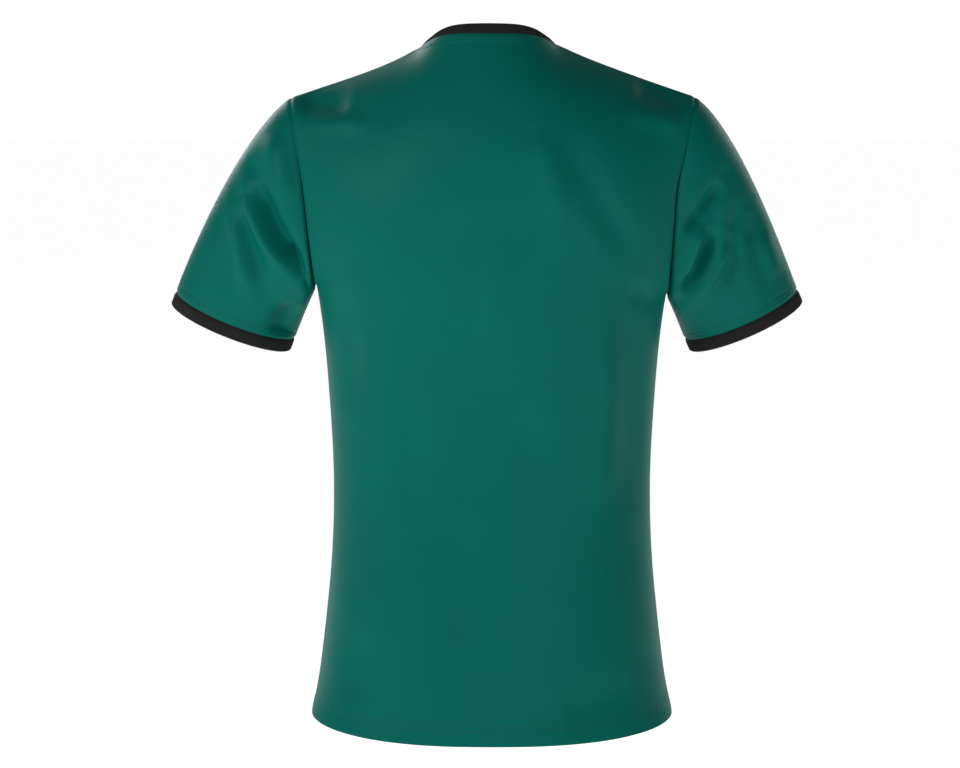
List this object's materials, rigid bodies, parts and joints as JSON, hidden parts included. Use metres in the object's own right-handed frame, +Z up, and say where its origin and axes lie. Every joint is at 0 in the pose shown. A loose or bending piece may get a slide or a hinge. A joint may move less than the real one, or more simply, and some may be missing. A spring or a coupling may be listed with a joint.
{
  "type": "football jersey",
  "caption": "Short-sleeved crew-neck football jersey in teal-green knit with black ribbed collar and cuffs, filled out as if worn, with open neck, hem and sleeves.",
  "frame": {"origin": "midway between the two points where the shoulder seams meet the collar, where a wearer's neck and shoulders hold the jersey", "axes": "+Z up, +Y towards the jersey's front, +X towards the wearer's right sleeve"},
  "size_m": [0.64, 0.2445, 0.6959],
  "materials": {
    "green_knit": "smooth polyester interlock knit with a soft satin sheen",
    "black_rib": "matt black one by one rib knit"
  },
  "bodies": {
    "root": {"back": "green_knit", "front": "green_knit", "sleeve_left": "green_knit", "sleeve_right": "green_knit", "collar": "black_rib", "cuff_left": "black_rib", "cuff_right": "black_rib"}
  },
  "joints": []
}
